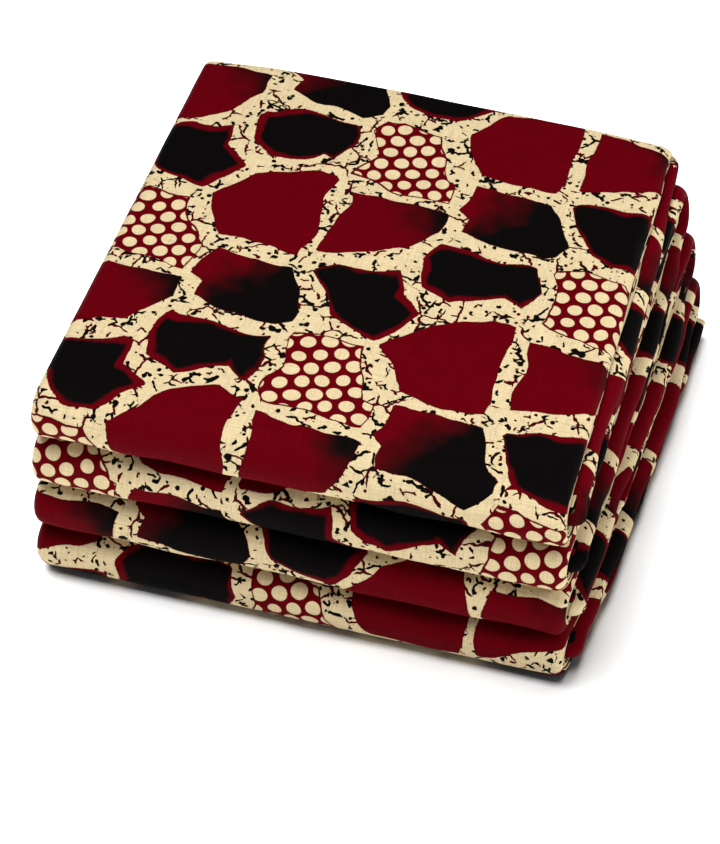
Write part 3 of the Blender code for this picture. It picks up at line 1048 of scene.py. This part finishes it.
# The stack of layers: its pitch, how its lines wave, and the stripes' step from layer to layer and stretch.
# A colour shows where its noise is above a value, and black painted shade fills the gaps between layers that
# far from a layer's middle
LAYER_PITCH = 0.00107
LAYER_WAVE = (0.0, 0.0, 0.003)
LAYER_WAVES = 45.0
LAYER_STEP = 0.37
LAYER_STRETCH = (0.2, 1.0, 0.0)
CREAM_ABOVE = 0.47
CREAM_WAVES = 60.0
BLACK_ABOVE = 0.53
BLACK_WAVES = 70.0
BLACK_OFFSET = (0.0, 4.0, 0.0)
STRIPE_SOFTNESS = 0.01
GAP_SHADE_ABOVE = 0.36
GAP_SHADE_SOFTNESS = 0.06
LAYER_BUMP = (0.8, 0.0006)


def layered_edges():
    """The stack of layers inside: print-coloured stripes, with painted shade in thin black lines between
    layers.
    """
    material, tree, shader = cloth_shader("layered_edges", EDGES_ROUGHNESS)
    place = add(tree, "TexCoord").outputs["Object"]
    moved = strayed(tree, place, LAYER_WAVES, LAYER_WAVE, detail=2.0)
    layer = calc(tree, "DIVIDE", add(tree, "SeparateXYZ", {0: moved}).outputs[2], LAYER_PITCH)
    number = calc(tree, "FLOOR", layer)
    step = add(tree, "CombineXYZ", {0: calc(tree, "MULTIPLY", number, LAYER_STEP)}).outputs[0]
    stretched = shifted(tree, place, step, LAYER_STRETCH)
    cream = calc(tree, "SUBTRACT", noise(tree, stretched, CREAM_WAVES), CREAM_ABOVE)
    colour = blend_colours(tree, within(tree, cream, STRIPE_SOFTNESS), RED, CREAM)
    black = noise(tree, shifted(tree, stretched, BLACK_OFFSET), BLACK_WAVES)
    black = calc(tree, "SUBTRACT", black, BLACK_ABOVE)
    colour = blend_colours(tree, within(tree, black, STRIPE_SOFTNESS), colour, BLACK)
    # Painted shade: black in the gaps between the layers, away from each layer's middle, for the shadow in
    # those slits
    off_middle = calc(tree, "ABSOLUTE", calc(tree, "SUBTRACT", calc(tree, "FRACT", layer), 0.5))
    gap = calc(tree, "SUBTRACT", off_middle, GAP_SHADE_ABOVE)
    colour = blend_colours(tree, within(tree, gap, GAP_SHADE_SOFTNESS), colour, BLACK)
    tree.links.new(colour, shader.inputs["Base Color"])
    bump(tree, shader, LAYER_BUMP, off_middle, invert=True)
    return material


# The table: its colour and finish, half its side, and its height, a hair under the cloth
TABLE_WHITE = (0.80, 0.80, 0.80, 1.0)
TABLE_ROUGHNESS = 0.8
TABLE_REACH = 8.0
TABLE_Z = -0.0003
# The table's glow: the distances from the middle between which it rises, and its greatest strength
GLOW_RISE = (0.22, 0.70)
GLOW_STRENGTH = 0.95


def white_table():
    """Matt white, with a glow that rises away from the middle, so that the far table stays pale."""
    material = bpy.data.materials.new("white_table")
    material.use_nodes = True
    tree = material.node_tree
    shader = tree.nodes["Principled BSDF"]
    shader.inputs["Base Color"].default_value = TABLE_WHITE
    shader.inputs["Roughness"].default_value = TABLE_ROUGHNESS
    shader.inputs["Emission Color"].default_value = (1.0, 1.0, 1.0, 1.0)
    place = add(tree, "TexCoord").outputs["Object"]
    away = add(tree, "VectorMath", {0: place}, operation="LENGTH").outputs["Value"]
    inputs = {"Value": away, "From Min": GLOW_RISE[0], "From Max": GLOW_RISE[1], "To Max": GLOW_STRENGTH}
    glow = add(tree, "MapRange", inputs).outputs["Result"]
    tree.links.new(glow, shader.inputs["Emission Strength"])
    return material


def cloth_piece(obj, material, node=None):
    """Finishes one sheet: thickness, material and its body, and hides the solid of the node it stands for."""
    obj.data.materials.append(material)
    thin_shell(obj, CLOTH_THICKNESS)
    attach(obj, "root")
    if node:
        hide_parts(node)


def cut_length(lengths, start, stop):
    """Length of the cloth between two places of the path, along one of its skins."""
    return float(np.ptp(lengths[rows_between(start, stop)]))


# The camera, fitted to the photo. The aim is seen at AIM_PIXEL of a frame of the given size
CAMERA_AZIMUTH = 16.198
CAMERA_ELEVATION = 43.403
CAMERA_DISTANCE = 1.4817
CAMERA_AIM = (-PILE_MIDDLE[0], -PILE_MIDDLE[1], 0.06)
FOCAL_PIXELS = 2600.0
SENSOR_WIDTH = 36.0
FRAME_WIDTH = 720
FRAME_HEIGHT = 844
AIM_PIXEL = (370.39, 368.78)


def photo_camera():
    """A camera on the photo's line of sight: aim plus the distance along azimuth and elevation."""
    azimuth = math.radians(CAMERA_AZIMUTH)
    elevation = math.radians(CAMERA_ELEVATION)
    level = math.cos(elevation)
    back = np.array([math.sin(azimuth) * level, -math.cos(azimuth) * level, math.sin(elevation)])
    camera = bpy.data.cameras.new("photo_camera")
    camera.sensor_fit = "AUTO"
    camera.sensor_width = SENSOR_WIDTH
    camera.lens = FOCAL_PIXELS * SENSOR_WIDTH / FRAME_HEIGHT
    camera.shift_x = (FRAME_WIDTH / 2 - AIM_PIXEL[0]) / FRAME_HEIGHT
    camera.shift_y = (AIM_PIXEL[1] - FRAME_HEIGHT / 2) / FRAME_HEIGHT
    camera.clip_start = 0.05
    camera.clip_end = 20.0
    obj = bpy.data.objects.new("photo_camera", camera)
    bpy.context.scene.collection.objects.link(obj)
    obj.location = np.array(CAMERA_AIM) + CAMERA_DISTANCE * back
    obj.rotation_euler = (math.pi / 2 - elevation, 0.0, azimuth)
    bpy.context.scene.camera = obj


# Lamps: power in watts, size, place and aim. INCLUDE lights the table alone, and EXCLUDE all but the table
LAMPS = (
    ("cloth_lamp", 24.5, 0.8, (-0.20, -0.29, 1.50), (0.0, 0.0, 0.08), "EXCLUDE"),
    ("right_lamp", 8.0, 0.5, (1.05, -0.15, 0.75), (0.0, 0.0, 0.08), "EXCLUDE"),
    ("table_lamp", 95.0, 1.6, (-0.42, 0.05, 1.6), (-0.42, 0.05, 0.0), "INCLUDE"),
)
SURROUND_STRENGTH = 0.10


def soft_light(name, power, size, place, aim):
    """A square studio lamp that faces aim."""
    lamp = bpy.data.lights.new(name, "AREA")
    lamp.energy = power
    lamp.size = size
    obj = bpy.data.objects.new(name, lamp)
    bpy.context.scene.collection.objects.link(obj)
    obj.location = place
    x, y, z = np.array(aim) - np.array(place)
    obj.rotation_euler = (math.atan2(math.hypot(x, y), -z), 0.0, math.atan2(y, x) - math.pi / 2)
    return obj


def pale_surround():
    """An even white light from all round."""
    world = bpy.data.worlds.new("pale_surround")
    bpy.context.scene.world = world
    world.use_nodes = True
    background = world.node_tree.nodes["Background"]
    background.inputs["Color"].default_value = (1.0, 1.0, 1.0, 1.0)
    background.inputs["Strength"].default_value = SURROUND_STRENGTH


def table_top():
    """The plain pale table, a square of twice TABLE_REACH a side."""
    mesh = bpy.data.meshes.new("table_top")
    sides = ((-1, -1), (1, -1), (1, 1), (-1, 1))
    corners = [(TABLE_REACH * x, TABLE_REACH * y, TABLE_Z) for x, y in sides]
    mesh.from_pydata(corners, [], [(0, 1, 2, 3)])
    table = bpy.data.objects.new("table_top", mesh)
    bpy.context.scene.collection.objects.link(table)
    mesh.materials.append(white_table())
    return table


def studio():
    """The surround, the table, lamps above left and low right for the cloth, and one for the table alone."""
    pale_surround()
    table = table_top()
    for name, power, size, place, aim, table_state in LAMPS:
        lamp = soft_light(name, power, size, place, aim)
        receivers = bpy.data.collections.new(name + "_receivers")
        receivers.objects.link(table)
        receivers.collection_objects[0].light_linking.link_state = table_state
        lamp.light_linking.receiver_collection = receivers


# The places along the band where each node starts and stops, on the woven edges' side and on the folds' side
FLOOR_LIP = 6 + FLOOR_LIP_ANGLE / 180.0
WOVEN_PLACES = {
    "top_and_front_turn_1": (None, 1.5),
    "front_turn_2": (1.5, 3.5),
    "front_turn_3": (3.5, 5.5),
    "front_turn_4": (5.5, FLOOR_LIP),
    "underside": (FLOOR_LIP, None),
}
FOLD_PLACES = {
    "top_right_fold": (None, 0.5),
    "back_turn_1": (0.5, 2.5),
    "back_turn_2": (2.5, 4.5),
    "back_turn_3": (4.5, 6.5),
    "bottom_right_fold": (6.5, None),
}


def main():
    """Sets up the camera and the studio, lays the sheets over the solids and dresses the layers inside."""
    photo_camera()
    studio()
    bpy.context.scene.view_settings.view_transform = "Standard"
    wax_print = print_group()
    woven = printed_cloth("printed_cotton", wax_print)
    folds = printed_cloth("printed_cotton_folds", wax_print)
    for node, (start, stop) in WOVEN_PLACES.items():
        spacing = ACROSS_SPACING["top" if node == "top_and_front_turn_1" else "woven"]
        sheet = woven_side_sheet(node + "_sheet", start, stop, spacing)
        cut = (WOVEN_ACROSS, cut_length(OUTER_LENGTH, start, stop))
        cloth_piece(sheet, woven, node)
    for node, (start, stop) in FOLD_PLACES.items():
        sheet = folded_side_sheet(node + "_sheet", start, stop, ACROSS_SPACING["folded"])
        cut = (FOLDED_ACROSS, cut_length(INNER_LENGTH, start, stop))
        cloth_piece(sheet, folds, node)
    layers_material = layered_edges()
    for material_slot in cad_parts["hidden_layers"].material_slots:
        material_slot.material = layers_material
    edges = woven_edges("woven_edges")
    cut = (EDGE_LAYERS * EDGE_WIDTH, float(MIDDLE_LENGTH[-1]))
    cloth_piece(edges, woven)


main()
